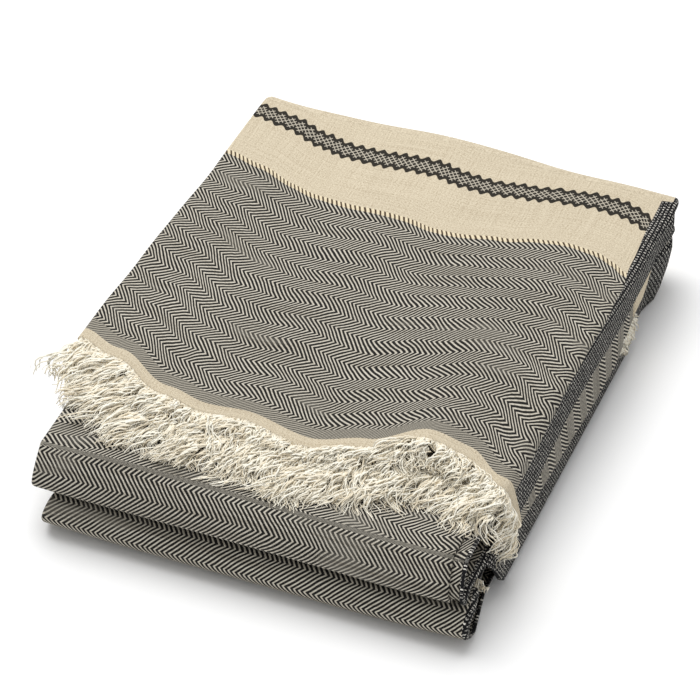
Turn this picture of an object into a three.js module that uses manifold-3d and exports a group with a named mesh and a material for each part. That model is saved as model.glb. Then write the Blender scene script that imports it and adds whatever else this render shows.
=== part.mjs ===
import * as THREE from "three";
import { mergeVertices } from "three/addons/utils/BufferGeometryUtils.js";
import Module from "manifold-3d";

const wasm = await Module();
wasm.setup();

// A guest towel, folded in two along its length and then back and forth in six layers.
// Millimetres. X runs across the bundle, Y from its front folds to its back folds, Z up from the table.

// Cloth
const PLY = 1.2; // thickness of the woven cloth
const PLY_PITCH = 1.8; // between the middles of the two plies of the lengthwise fold
const TOP_HEM_Y = -60;
const INNER_HEM_Y = -107;
const SHORT_PLY_INSET = 4; // the lower ply ends this far inside the upper one
const BEND_RADIUS = 3.5; // where the long ply turns down over the right side

// One row for each layer of the doubled strip, in the order in which the strip runs through the bundle:
// the height z of its middle, and the x of its left and right edges, each first at the front.
const LAYERS = [
  { name: "top", z: [43.5, 47], left: [-99, -97], right: [94.5, 95.8] },
  { name: "second", z: [38.5, 38], left: [-88, -95], right: [94, 92] },
  { name: "third", z: [22.8, 33], left: [-94, -94], right: [92, 92.6] },
  { name: "bottom", z: [1.5, 1.5], left: [-90, -88], right: [90.5, 90.5] },
  { name: "fifth", z: [15.7, 8], left: [-85, -88], right: [90, 90] },
  { name: "inner", z: [19.2, 17], left: [-85, -88], right: [89.5, 89.5] },
];

// The layers whose long ply hangs down the right side: between which y, and by y down to which height and
// how far the ply turns down, in half turns.
const HANGS = {
  top: {
    from: TOP_HEM_Y,
    to: 121,
    bottom: [
      { at: -90, value: 22 },
      { at: 45, value: 14 },
      { at: 80, value: 26 },
      { at: 98, value: 36 },
    ],
    turn: [{ at: 0, value: 0.49 }],
  },
  third: {
    from: -92,
    to: 119,
    bottom: [{ at: 0, value: 2 }],
    turn: [
      { at: 60, value: 0.48 },
      { at: 115, value: 0.54 },
    ],
  },
};
const EDGE_OVERHANG = 3; // what is left of an overhang in the folds and in the other layers
const EDGE_TURN = 0.49; // how far that turns down, in half turns

// Where a layer's right edge stands out towards a fold, between which y and by how much.
const FLARES = {
  top: { from: 100, to: 122, reach: 3 },
  second: { from: 100, to: 122, reach: 3 },
  third: { from: 92, to: 115, reach: 6 },
  bottom: { from: -104, to: -118, reach: 4 },
  fifth: { from: -104, to: -118, reach: 5 },
};
const NO_FLARE = { from: 0, to: 1, reach: 0 };
const HANG_FADE = 12; // length over which an overhang is drawn in towards a fold
const BEND_SHARE = 0.75; // the most that a bend takes of a short overhang

// One row for each crosswise fold between two layers: its outermost y, its depth to where the layers
// run straight, how far its nose is drawn to the upper layer, and how far it sags.
const FOLDS = [
  { name: "upper back", y: 130, depth: 8, nose: 0, sag: 0.5 },
  { name: "upper front", y: -128, depth: 9, nose: 0.1, sag: 5.5 },
  { name: "lower back", y: 130, depth: 13, nose: 0.35, sag: 0 },
  { name: "lower front", y: -131, depth: 9, nose: 0, sag: -1.2 },
  { name: "inner back", y: 112, depth: 6, nose: 0, sag: 0 },
];
// How far the hem on top reaches in front of TOP_HEM_Y, by x.
const HEM_WAVE = [
  { at: -100, value: 0 },
  { at: -80, value: 8 },
  { at: -50, value: 23 },
  { at: -32, value: 27 },
  { at: -12, value: 23 },
  { at: 14, value: 27 },
  { at: 36, value: 19 },
  { at: 62, value: 9 },
  { at: 78, value: 10 },
  { at: 95, value: 20 },
];
const LOWER_HEM_REACH = 9; // the hem of the lower ply shows in front of the upper one
const LOWER_HEM_START = { from: -98, to: -60 };
const HEM_LIFT = { x: 62, width: 17, height: 5, length: 40 }; // where the upper hem stands open

// Slow waves of the settled bundle, as shares of the height, with their lengths along X and Y.
const WAVES = [
  { share: 0.026, alongX: 150, alongY: 290, phase: 4.9 },
  { share: 0.018, alongX: -380, alongY: 180, phase: 2.1 },
  { share: 0.010, alongX: 95, alongY: -600, phase: 4.0 },
];
const STACK_HEIGHT = 46;
const TILT = { share: 0.03, halfWidth: 100 }; // the left side is higher and the right side lower by this
const LEAN = 6; // the top leans to the left by this at its front
const LEAN_FROM = { y: 90, to: -90 };

// How far the underside stands off the table at its front corners and at the middle of its back. It lies flat
// at the middle of its front.
const UNDERSIDE = { corners: 1.5, middle: 0.8, halfWidth: 88, back: 120, front: -125 };
const FLAT_PLACE = { halfWidth: 36, from: -100 };

// Points along a layer, as shares of its length, and the steps of one fold.
const PLAIN_STEPS = [0, 0.25, 0.5, 0.75, 1];
const OWN_STEPS = {
  top: [0, 0.07, 0.17, 0.28, 0.39, 0.5, 0.61, 0.72, 0.82, 0.93, 0.97, 1],
  second: [0, 0.14, 0.29, 0.43, 0.57, 0.71, 0.86, 1],
  third: [0, 0.06, 0.12, 0.3, 0.45, 0.6, 0.75, 0.88, 0.95, 0.98, 1],
  bottom: [0, 0.25, 0.5, 0.75, 0.93, 1],
  fifth: [0, 0.07, 0.25, 0.5, 0.75, 1],
};
const FOLD_STEPS = 7;

// Steps across the strip: lower ply, lengthwise fold, upper ply, bend and overhang.
const ACROSS = { lower: 9, fold: 4, upper: 9, bend: 3, hang: 2 };

// Fringe
const FRINGE_GAP = 0.4; // between the cloth's edge and the strip that carries the strands
const BACKING = 2.4; // depth of that strip
const STRAND_ROOT = 0.5; // thickness at the root and at the tip, as a share of the strand's
const STRAND_TIP = 0.6;
const LENGTH_SPREAD = { least: 0.8, most: 1.15 }; // shares of a strand's length and of its arch
const ARCH_SPREAD = { least: 0.5, most: 1.2 };
const TOP_FRINGE = { pitch: 3.5, length: 26, radius: 0.95, sides: 3, segments: 4, curl: 0.9, seed: 11 };
const INNER_FRINGE = { pitch: 7, length: 9, radius: 0.75, sides: 3, segments: 2, curl: 0.6, seed: 23 };

// How high the strands of the top fringe arch and how far they drop, on each part of the strip.
const TOP_STRANDS = {
  lower: { arch: 0.5, drop: 0 },
  upper: { arch: 4, drop: 0 },
  hang: { arch: 0.5, drop: 5 },
};
const LEFT_TUFT = { from: -88, aside: -8 };
const INNER_TUFT = { from: 78, aside: { least: 10, most: 16 } };

// The strip of the corner's fringe, and how far its strands run back, down and off the side.
const CORNER_TUFT = { x: 98, y: 52, z: 21, thickness: 0.8, length: 20, height: 6, rootDrop: 1.8, seed: 31 };
const CORNER_STRAND = {
  count: 7,
  radius: 0.6,
  sides: 3,
  segments: 3,
  back: { least: 12, most: 20 },
  down: { least: 4.5, most: 9 },
  stand: 1.3,
};

const CLOTH_COLOUR = 0x6b6459;
const YARN_COLOUR = 0xe6dcc6;

// A smooth step from 0 at from to 1 at to, in either direction.
function ramp(v, from, to) {
  const t = THREE.MathUtils.clamp((v - from) / (to - from), 0, 1);
  return t * t * (3 - 2 * t);
}

const lerp = THREE.MathUtils.lerp;

// A smooth curve through rows of { at, value }, level beyond its ends.
function curve(rows, at) {
  if (at <= rows[0].at) return rows[0].value;
  const after = rows.findIndex((row) => row.at >= at);
  if (after < 0) return rows[rows.length - 1].value;
  const a = rows[after - 1];
  const b = rows[after];
  return lerp(a.value, b.value, ramp(at, a.at, b.at));
}

// The settled place of a point of the even stack. It never turns the order of two layers round.
function settle(p) {
  const level = p.z / STACK_HEIGHT;
  let share = 0;
  for (const wave of WAVES) {
    share += wave.share * Math.sin(2 * Math.PI * (p.x / wave.alongX + p.y / wave.alongY) + wave.phase);
  }
  share -= (TILT.share * p.x) / TILT.halfWidth;
  const lean = LEAN * level * level * ramp(p.y, LEAN_FROM.y, LEAN_FROM.to);
  const stand = Math.max(0, 1 - level) * underside(p.x, p.y);
  return new THREE.Vector3(p.x - lean, p.y, p.z * (1 + share) + stand);
}

function underside(x, y) {
  const beside = Math.max(0, Math.abs(x) - FLAT_PLACE.halfWidth);
  const aside = (beside / (UNDERSIDE.halfWidth - FLAT_PLACE.halfWidth)) ** 2;
  const corners = UNDERSIDE.corners * aside * ramp(y, UNDERSIDE.back, UNDERSIDE.front);
  return corners + UNDERSIDE.middle * Math.max(0, 1 - aside) * ramp(y, FLAT_PLACE.from, UNDERSIDE.back);
}

// Layer i runs to the back when i is even, and to the front when it is odd.
const sideOfFold = (i) => (i % 2 === 0 ? 1 : -1);

function layerEnd(i) {
  const fold = FOLDS[i];
  return fold.y - sideOfFold(i) * fold.depth;
}

// How near the back a place on layer i counts, from 0 to 1, f from 0 to 1 along the layer.
const towardsBack = (i, f) => (i % 2 === 0 ? ramp(f, 0, 1) : ramp(f, 1, 0));

// A point of the strip's middle on layer i, f from 0 to 1 along it.
function onLayer(i, f) {
  const start = i === 0 ? TOP_HEM_Y : layerEnd(i - 1);
  const end = i === LAYERS.length - 1 ? INNER_HEM_Y : layerEnd(i);
  return { y: lerp(start, end, f), z: lerp(...LAYERS[i].z, towardsBack(i, f)) };
}

function edgesOfLayer(i, f) {
  const { name, left, right } = LAYERS[i];
  const share = towardsBack(i, f);
  const { from, to, reach } = FLARES[name] ?? NO_FLARE;
  const flare = reach * ramp(onLayer(i, f).y, from, to);
  return { left: lerp(...left, share), right: lerp(...right, share) + flare };
}

// A point of the strip's middle in the fold after layer i, f from 0 to 1 round it.
function onFold(i, f) {
  const fold = FOLDS[i];
  const side = sideOfFold(i);
  const end = side > 0 ? 1 : 0;
  const from = LAYERS[i].z[end];
  const to = LAYERS[i + 1].z[end];
  const turn = Math.PI * f;
  const nose = 1 + fold.nose * Math.cos(turn);
  return {
    y: fold.y - side * fold.depth * (1 - Math.sin(turn) * nose),
    z: (from + to) / 2 + ((from - to) / 2) * Math.cos(turn) - fold.sag * Math.sin(turn),
  };
}

// The length of cloth that hangs over the right edge of layer i at one of its points, and how far it turns.
function overhangAt(i, { y, z }) {
  const hang = HANGS[LAYERS[i].name];
  if (!hang) return { overhang: EDGE_OVERHANG, angle: EDGE_TURN * Math.PI };
  const angle = curve(hang.turn, y) * Math.PI;
  const drop = z + PLY_PITCH / 2 - BEND_RADIUS - curve(hang.bottom, y);
  const full = BEND_RADIUS * angle + drop / Math.sin(angle);
  const inside = ramp(y, hang.from - HANG_FADE, hang.from) * ramp(y, hang.to, hang.to - HANG_FADE);
  return { overhang: lerp(EDGE_OVERHANG, full, inside), angle };
}

// One row across the strip: its middle, its normal, its edges, and how much of the hem's wave reaches it.
function rowAt(point, f, edges) {
  const step = 1e-4; // of f, for the direction
  const before = point(f - step);
  const after = point(f + step);
  const length = Math.hypot(after.y - before.y, after.z - before.z);
  const { y, z } = point(f);
  return {
    y,
    z,
    normalY: -(after.z - before.z) / length,
    normalZ: (after.y - before.y) / length,
    ...edges,
  };
}

function layerRow(i, f) {
  const edges = { ...edgesOfLayer(i, f), ...overhangAt(i, onLayer(i, f)), wave: i === 0 ? 1 - f : 0 };
  return rowAt((at) => onLayer(i, at), f, edges);
}

function foldRow(i, f) {
  const before = edgesOfLayer(i, 1);
  const after = edgesOfLayer(i + 1, 0);
  const share = ramp(f, 0, 1);
  const left = lerp(before.left, after.left, share);
  const right = lerp(before.right, after.right, share);
  const edges = { left, right, overhang: EDGE_OVERHANG, angle: EDGE_TURN * Math.PI, wave: 0 };
  return rowAt((at) => onFold(i, at), f, edges);
}

// The columns across the strip. Each gives, for a row, its x, its height h over the strip's middle, and the
// direction (outX, outH) out of the strip.
function columnsAcross() {
  const columns = [];
  const half = PLY_PITCH / 2;
  for (let k = 0; k <= ACROSS.lower; k++) {
    const x = (row) => Math.min(row.right - SHORT_PLY_INSET, lerp(row.right, row.left, k / ACROSS.lower));
    columns.push((row) => ({ x: x(row), h: -half, outX: 0, outH: -1, lower: true }));
  }
  for (let k = 1; k < ACROSS.fold; k++) {
    const turn = (Math.PI * k) / ACROSS.fold;
    const outX = -Math.sin(turn);
    const outH = -Math.cos(turn);
    columns.push((row) => ({ x: row.left + half * outX, h: half * outH, outX, outH, lower: outH < 0 }));
  }
  for (let k = 0; k <= ACROSS.upper; k++) {
    const f = k / ACROSS.upper;
    columns.push((row) => ({ x: lerp(row.left, row.right, f), h: half, outX: 0, outH: 1, lower: false }));
  }
  for (let k = 1; k <= ACROSS.bend + ACROSS.hang; k++) {
    columns.push((row) => overhangColumn(row, k));
  }
  return columns;
}

function overhangColumn(row, k) {
  const radius = Math.min(BEND_RADIUS, (BEND_SHARE * row.overhang) / row.angle);
  const turn = row.angle * Math.min(1, k / ACROSS.bend);
  const straight = (row.overhang - radius * row.angle) * Math.max(0, (k - ACROSS.bend) / ACROSS.hang);
  const outX = Math.sin(turn);
  const outH = Math.cos(turn);
  return {
    x: row.right + radius * outX + straight * outH,
    h: PLY_PITCH / 2 - radius * (1 - outH) - straight * outX,
    outX,
    outH,
    lower: false,
  };
}

// How far the hem's wave moves a point of the strip forward, and the lift of the open upper hem.
function hemReach(row, place) {
  const lower = place.lower ? LOWER_HEM_REACH * ramp(place.x, LOWER_HEM_START.from, LOWER_HEM_START.to) : 0;
  return row.wave * (curve(HEM_WAVE, place.x) + lower);
}

function hemLift(row, place) {
  if (place.lower || row.wave === 0) return 0;
  const across = Math.exp(-(((place.x - HEM_LIFT.x) / HEM_LIFT.width) ** 2));
  return HEM_LIFT.height * across * ramp(row.y, TOP_HEM_Y + HEM_LIFT.length, TOP_HEM_Y);
}

// A point of the cloth, out by a distance from the middle of its ply, before the bundle settles.
function clothPoint(row, place, out) {
  const h = place.h + out * place.outH + hemLift(row, place);
  return new THREE.Vector3(
    place.x + out * place.outX,
    row.y + row.normalY * h - hemReach(row, place),
    row.z + row.normalZ * h,
  );
}

// A closed geometry from a grid of points on each side of a sheet.
function sheetGeometry(rows, columns) {
  const positions = [];
  for (const out of [PLY / 2, -PLY / 2]) {
    for (const row of rows) {
      for (const column of columns) {
        positions.push(...settle(clothPoint(row, column(row), out)).toArray());
      }
    }
  }
  const wide = columns.length;
  const side = rows.length * wide;
  const triangles = [];
  const quad = (a, b, c, d) => triangles.push(a, b, c, a, c, d);
  for (let r = 0; r + 1 < rows.length; r++) {
    for (let c = 0; c + 1 < wide; c++) {
      const [a, b, d, e] = [0, 1, wide + 1, wide].map((step) => r * wide + c + step);
      // The diagonals of the two plies run the same way, so that they stay apart.
      if (c < ACROSS.lower) {
        quad(b, d, e, a);
        quad(side + e, side + d, side + b, side + a);
      } else {
        quad(a, b, d, e);
        quad(side + a, side + e, side + d, side + b);
      }
    }
    const left = r * wide;
    const right = left + wide - 1;
    quad(left, left + wide, side + left + wide, side + left);
    quad(right + wide, right, side + right, side + right + wide);
  }
  for (let c = 0; c + 1 < wide; c++) {
    const last = side - wide + c;
    quad(c + 1, c, side + c, side + c + 1);
    quad(last, last + 1, side + last + 1, side + last);
  }
  const geometry = new THREE.BufferGeometry();
  geometry.setAttribute("position", new THREE.Float32BufferAttribute(positions, 3));
  geometry.setIndex(triangles);
  return geometry;
}

function solidOf(geometry) {
  const merged = mergeVertices(geometry, 1e-4);
  const vertProperties = merged.attributes.position.array;
  const triVerts = new Uint32Array(merged.index.array);
  return new wasm.Manifold(new wasm.Mesh({ numProp: 3, vertProperties, triVerts }));
}

function geometryOf(solid) {
  const mesh = solid.getMesh();
  const geometry = new THREE.BufferGeometry();
  geometry.setAttribute("position", new THREE.BufferAttribute(mesh.vertProperties, 3));
  geometry.setIndex(new THREE.BufferAttribute(mesh.triVerts, 1));
  return geometry;
}

// The towel
function towelGeometry() {
  const rows = [];
  LAYERS.forEach((layer, i) => {
    const steps = OWN_STEPS[layer.name] ?? PLAIN_STEPS;
    for (const f of steps) rows.push(layerRow(i, f));
    if (i === FOLDS.length) return;
    for (let k = 1; k < FOLD_STEPS; k++) rows.push(foldRow(i, k / FOLD_STEPS));
  });
  return sheetGeometry(rows, columnsAcross());
}

// The strips that carry the fringes run on from the cloth's ends, parted from them.
function beyondEnd(row, distance) {
  const along = { y: row.normalZ, z: -row.normalY };
  return { ...row, y: row.y + along.y * distance, z: row.z + along.z * distance };
}

function backingGeometry(endRow, sign) {
  const rows = [FRINGE_GAP, FRINGE_GAP + BACKING].map((distance) => beyondEnd(endRow, sign * distance));
  return sheetGeometry(sign > 0 ? rows : rows.reverse(), columnsAcross());
}

const between = ({ least, most }, random) => lerp(least, most, random());

// An even run of random numbers from 0 to 1 that is the same each time.
function randomRun(seed) {
  let state = seed;
  return () => {
    state = (state + 0x6d2b79f5) | 0;
    let t = Math.imul(state ^ (state >>> 15), 1 | state);
    t = (t + Math.imul(t ^ (t >>> 7), 61 | t)) ^ t;
    return ((t ^ (t >>> 14)) >>> 0) / 4294967296;
  };
}

// One strand: a closed prism along a short run of points, thinner at its ends.
function strandSolid(points, { radius, sides }) {
  const positions = [];
  const last = points.length - 1;
  const sideways = new THREE.Vector3();
  const lift = new THREE.Vector3();
  points.forEach((point, i) => {
    const along = points[Math.min(i + 1, last)].clone().sub(points[Math.max(i - 1, 0)]).normalize();
    sideways.crossVectors(along, new THREE.Vector3(0, 0, 1)).normalize();
    lift.crossVectors(sideways, along);
    const reach = radius * (i === 0 ? STRAND_ROOT : i === last ? STRAND_TIP : 1);
    for (let k = 0; k < sides; k++) {
      const turn = (2 * Math.PI * (k + 0.5)) / sides;
      const corner = point.clone().addScaledVector(sideways, reach * Math.cos(turn));
      positions.push(...corner.addScaledVector(lift, reach * Math.sin(turn)).toArray());
    }
  });
  const triangles = [];
  for (let i = 0; i < last; i++) {
    for (let k = 0; k < sides; k++) {
      const a = i * sides + k;
      const b = i * sides + ((k + 1) % sides);
      triangles.push(a, b + sides, b, a, a + sides, b + sides);
    }
  }
  const tip = last * sides;
  for (let k = 2; k < sides; k++) {
    triangles.push(0, k - 1, k, tip, tip + k, tip + k - 1);
  }
  const geometry = new THREE.BufferGeometry();
  geometry.setAttribute("position", new THREE.Float32BufferAttribute(positions, 3));
  geometry.setIndex(triangles);
  return solidOf(geometry);
}

// A strand from a root in the stack: forward by its length, up by its arch on the way, and off to one side.
function strandFrom(root, fringe, random, { arch, aside, drop }) {
  const length = fringe.length * between(LENGTH_SPREAD, random);
  const curl = lerp(-fringe.curl, fringe.curl, random());
  const height = arch * between(ARCH_SPREAD, random);
  const points = [];
  for (let k = 0; k <= fringe.segments; k++) {
    const f = k / fringe.segments;
    const sideways = curl * Math.sin(2 * Math.PI * f) + aside * f;
    const step = new THREE.Vector3(sideways, -length * f, height * Math.sin(Math.PI * f) - drop * f * f);
    points.push(settle(step.add(root)));
  }
  return strandSolid(points, fringe);
}

// The roots of a fringe, evenly along both plies of the strip's end and down its overhang.
function rootsAlong(row, pitch) {
  const points = columnsAcross().map((column) => clothPoint(row, column(row), 0));
  const parts = Object.entries(ACROSS).flatMap(([part, steps]) => Array(steps).fill(part));
  const roots = [];
  let next = pitch / 2;
  for (let c = 0; c + 1 < points.length; c++) {
    const length = points[c].distanceTo(points[c + 1]);
    for (; next < length; next += pitch) {
      const point = points[c].clone().lerp(points[c + 1], next / length);
      if (parts[c] !== "fold" && parts[c] !== "bend") roots.push({ point, part: parts[c] });
    }
    next -= length;
  }
  return roots;
}

function fringeSolid(endRow, sign, fringe, shapeOf) {
  const random = randomRun(fringe.seed);
  const rootRow = beyondEnd(endRow, sign * (FRINGE_GAP + BACKING / 2));
  const strands = rootsAlong(rootRow, fringe.pitch).map((root) => {
    return strandFrom(root.point, fringe, random, shapeOf(root, random));
  });
  return wasm.Manifold.union([solidOf(backingGeometry(endRow, sign)), ...strands]);
}

// The fringe on top lies in two rows, the lower one flat on the layer below.
function topFringe() {
  return fringeSolid(layerRow(0, 0), -1, TOP_FRINGE, (root) => {
    return { ...TOP_STRANDS[root.part], aside: root.point.x < LEFT_TUFT.from ? LEFT_TUFT.aside : 0 };
  });
}

// The other fringe lies between two front folds, and only its right end stands out of them.
function innerFringe() {
  return fringeSolid(layerRow(LAYERS.length - 1, 1), 1, INNER_FRINGE, (root, random) => {
    const standsOut = root.point.x > INNER_TUFT.from;
    return { arch: 0, drop: 0, aside: standsOut ? between(INNER_TUFT.aside, random) : 0 };
  });
}

// A turned-back corner of that fringe shows on the right side, behind the top layer's overhang.
function cornerFringe() {
  const random = randomRun(CORNER_TUFT.seed);
  const { x, y, z, thickness, length, height, rootDrop } = CORNER_TUFT;
  const backing = new THREE.BoxGeometry(thickness, length, height).translate(x, y, z);
  const strands = [];
  for (let n = 0; n < CORNER_STRAND.count; n++) {
    const f = (n + 0.5) / CORNER_STRAND.count;
    strands.push(cornerStrand(new THREE.Vector3(x, y + length * (f - 0.5), z - rootDrop), random));
  }
  return wasm.Manifold.union([solidOf(settled(backing)), ...strands]);
}

// A strand of the corner hangs down and back along the side.
function cornerStrand(root, random) {
  const { stand, segments } = CORNER_STRAND;
  const back = between(CORNER_STRAND.back, random);
  const down = between(CORNER_STRAND.down, random);
  const points = [];
  for (let k = 0; k <= segments; k++) {
    const f = k / segments;
    const step = new THREE.Vector3(stand * f, back * f, -down * Math.sqrt(f));
    points.push(settle(step.add(root)));
  }
  return strandSolid(points, CORNER_STRAND);
}

// A geometry of the even stack, settled with it.
function settled(geometry) {
  const position = geometry.getAttribute("position");
  const point = new THREE.Vector3();
  for (let i = 0; i < position.count; i++) {
    const place = settle(point.fromBufferAttribute(position, i));
    position.setXYZ(i, place.x, place.y, place.z);
  }
  geometry.deleteAttribute("normal");
  geometry.deleteAttribute("uv");
  return geometry;
}

// The towel with its fringes, its origin under its middle on the table
const linen = (color) => new THREE.MeshStandardMaterial({ color, roughness: 0.95, metalness: 0 });

function named(name, geometry, color) {
  geometry.computeVertexNormals();
  const mesh = new THREE.Mesh(geometry, linen(color));
  mesh.name = name;
  return mesh;
}

const stack = new THREE.Group();
stack.add(
  named("towel", towelGeometry(), CLOTH_COLOUR),
  named("fringe_top", geometryOf(topFringe()), YARN_COLOUR),
  named("fringe_inner", geometryOf(innerFringe()), YARN_COLOUR),
  named("fringe_corner", geometryOf(cornerFringe()), YARN_COLOUR),
);
const middle = new THREE.Box3().setFromObject(stack).getCenter(new THREE.Vector3());
stack.position.set(-middle.x, -middle.y, 0);

const towel = new THREE.Group();
towel.add(stack);
export default towel;
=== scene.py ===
import math

import bpy
import numpy as np
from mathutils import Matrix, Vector
from mathutils.bvhtree import BVHTree


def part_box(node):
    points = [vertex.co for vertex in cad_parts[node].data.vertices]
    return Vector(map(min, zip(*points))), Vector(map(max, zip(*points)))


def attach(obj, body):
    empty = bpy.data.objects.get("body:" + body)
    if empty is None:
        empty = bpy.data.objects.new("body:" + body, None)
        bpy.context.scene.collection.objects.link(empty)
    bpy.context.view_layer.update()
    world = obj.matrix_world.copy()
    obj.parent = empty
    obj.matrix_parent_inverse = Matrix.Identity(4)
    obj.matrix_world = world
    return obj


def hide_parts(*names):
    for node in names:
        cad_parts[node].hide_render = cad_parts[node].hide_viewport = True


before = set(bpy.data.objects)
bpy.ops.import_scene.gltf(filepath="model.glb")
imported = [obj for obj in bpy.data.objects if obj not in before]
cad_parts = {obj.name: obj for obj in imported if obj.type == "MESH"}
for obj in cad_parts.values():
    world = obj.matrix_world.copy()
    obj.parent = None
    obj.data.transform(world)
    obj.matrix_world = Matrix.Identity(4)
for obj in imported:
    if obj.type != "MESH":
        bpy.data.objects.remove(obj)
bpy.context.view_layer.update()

# A folded guest towel. Lengths are in millimetres up to the meshes, which are in metres.
# X runs across the bundle, Y from its front folds to its back folds, Z up from the table.
MM = 0.001

# Cloth, as in the solids
PLY = 1.2  # thickness of the woven cloth
PLY_PITCH = 1.8  # between the middles of the two plies of the lengthwise fold
SHORT_PLY_INSET = 4
BEND_RADIUS = 3.5

# One row for each layer of the doubled strip, in the order in which it runs through the bundle:
# the heights of its middle and its edges, each at its front and its back, and the grid's steps along it.
LAYERS = [
    {"name": "top", "z": (43.5, 47), "left": (-99, -97), "right": (94.5, 95.8), "steps": 110},
    {"name": "second", "z": (38.5, 38), "left": (-88, -95), "right": (94, 92), "steps": 16},
    {"name": "third", "z": (22.8, 33), "left": (-94, -94), "right": (92, 92.6), "steps": 70},
    {"name": "bottom", "z": (1.5, 1.5), "left": (-90, -88), "right": (90.5, 90.5), "steps": 12},
    {"name": "fifth", "z": (15.7, 8), "left": (-85, -88), "right": (90, 90), "steps": 12},
    {"name": "inner", "z": (19.2, 17), "left": (-85, -88), "right": (89.5, 89.5), "steps": 12},
]

# The layers whose long ply hangs down the right side: between which y, and by y down to which height and how
# far the ply turns down, in half turns.
HANGS = {
    "top": {
        "from": -400, "to": 121, "bottom": [(-90, 22), (45, 14), (80, 26), (98, 36)], "turn": [(0, 0.49)],
    },
    "third": {"from": -92, "to": 119, "bottom": [(0, 2)], "turn": [(60, 0.48), (115, 0.54)]},
}
EDGE_TURN = 0.49  # the same in the folds and in the other layers
EDGE_OVERHANG = 3
HANG_FADE = 12
NARROW_BEND = 0.75  # a short overhang's share that its bend takes up

# Where a layer's right edge stands out towards a fold, between which y and by how much.
FLARES = {
    "top": {"from": 100, "to": 122, "reach": 3},
    "second": {"from": 100, "to": 122, "reach": 3},
    "third": {"from": 92, "to": 115, "reach": 6},
    "bottom": {"from": -104, "to": -118, "reach": 4},
    "fifth": {"from": -104, "to": -118, "reach": 5},
}

# One row for each crosswise fold between two layers.
FOLDS = [
    {"name": "upper back", "y": 130, "depth": 8, "nose": 0, "sag": 0.5, "steps": 24},
    {"name": "upper front", "y": -128, "depth": 9, "nose": 0.1, "sag": 5.5, "steps": 30},
    {"name": "lower back", "y": 130, "depth": 13, "nose": 0.35, "sag": 0, "steps": 24},
    {"name": "lower front", "y": -131, "depth": 9, "nose": 0, "sag": -1.2, "steps": 26},
    {"name": "inner back", "y": 112, "depth": 6, "nose": 0, "sag": 0, "steps": 6},
]
TOP_HEM_Y = -60
INNER_HEM_Y = -107

# How far the hem on top reaches in front of TOP_HEM_Y, by x.
HEM_WAVE = [
    (-100, 0), (-80, 8), (-50, 23), (-32, 27), (-12, 23),
    (14, 27), (36, 19), (62, 9), (78, 10), (95, 20),
]
# How much further the lower ply's hem reaches, and between which x this grows.
LOWER_HEM = {"reach": 9, "from": -98, "to": -60}
HEM_LIFT = {"x": 62, "width": 17, "height": 5, "length": 40}

# How far the weave lies in front of its even place further back on the top, by x. The hem's wave passes into
# this one along the cloth, and the layer below the top is woven on from it.
BACK_SLIDE = [
    (-95, 8), (-80, 9.5), (-62, 15), (-48, 18), (-34, 17.8), (-20, 17), (-6, 17), (8, 20),
    (22, 20.8), (38, 18), (54, 14), (68, 11), (80, 11.5), (88, 13.5), (95, 18),
]
SLIDE_TURN = 130
LAST_SLID_LAYER = 1
# Where the dark border starts across the cloth and how wide it is, by the way along it from the hem on top.
BORDER_START = [
    (15, 203.5), (45, 200.6), (65, 199), (95, 198.2), (120, 196.4), (140, 193.8), (165, 192.3),
]
BORDER_WIDTH = [(60, 12), (140, 16.5)]
WALL_BORDER_START = 1.4  # beyond the bend, on all layers but the top

# Slow waves of the settled bundle, as shares of the height, with their lengths along X and Y.
WAVES = [
    {"share": 0.026, "along_x": 150, "along_y": 290, "phase": 4.9},
    {"share": 0.018, "along_x": -380, "along_y": 180, "phase": 2.1},
    {"share": 0.010, "along_x": 95, "along_y": -600, "phase": 4.0},
]
STACK_HEIGHT = 46
CRUMPLE = {"dimples": 0.45, "puckers": 0.30, "ripples": 0.55}  # heights of the small unevenness on top
TILT = {"share": 0.03, "half_width": 100}  # the left side stands higher
UNDERSIDE = {"corners": 1.5, "middle": 0.8, "half_width": 88, "back": 120, "front": -125}
FLAT_PLACE = {"half_width": 36, "from": -100}
LEAN = 6
LEAN_FROM = (90, -90)

# Steps across the strip: lower ply, lengthwise fold, upper ply, bend and overhang.
ACROSS = {"lower": 26, "fold": 8, "upper": 84, "bend": 7, "hang": 12}


def ramp(v, start, end):
    """A smooth step from 0 at start to 1 at end, in either direction."""
    t = np.clip((np.asarray(v, float) - start) / (end - start), 0, 1)
    return t * t * (3 - 2 * t)


def lerp(a, b, t):
    return a + (b - a) * t


def curve(rows, at):
    """A smooth curve through rows of (at, value), level beyond its ends."""
    at = np.asarray(at, float)
    value = np.full(at.shape, float(rows[0][1]))
    for (a, from_value), (b, to_value) in zip(rows, rows[1:]):
        value = value + (to_value - from_value) * ramp(at, a, b)
    return value


def settle(p):
    """The settled place of points of the even stack."""
    x, y, z = p[..., 0], p[..., 1], p[..., 2]
    level = z / STACK_HEIGHT
    share = sum(
        w["share"] * np.sin(2 * math.pi * (x / w["along_x"] + y / w["along_y"]) + w["phase"]) for w in WAVES
    )
    share = share - TILT["share"] * x / TILT["half_width"]
    beside = np.maximum(0, np.abs(x) - FLAT_PLACE["half_width"])
    aside = (beside / (UNDERSIDE["half_width"] - FLAT_PLACE["half_width"])) ** 2
    stand = UNDERSIDE["corners"] * aside * ramp(y, UNDERSIDE["back"], UNDERSIDE["front"])
    stand += UNDERSIDE["middle"] * np.maximum(0, 1 - aside) * ramp(y, FLAT_PLACE["from"], UNDERSIDE["back"])
    height = z * (1 + share) + stand * np.maximum(0, 1 - level)
    return np.stack([x - LEAN * level * level * ramp(y, *LEAN_FROM), y, height], -1)


def side_of_fold(i):
    """1 for a fold at the back, -1 for one at the front."""
    return 1 if i % 2 == 0 else -1


def layer_end(i):
    """The y where layer i passes into its fold."""
    return FOLDS[i]["y"] - side_of_fold(i) * FOLDS[i]["depth"]


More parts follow.
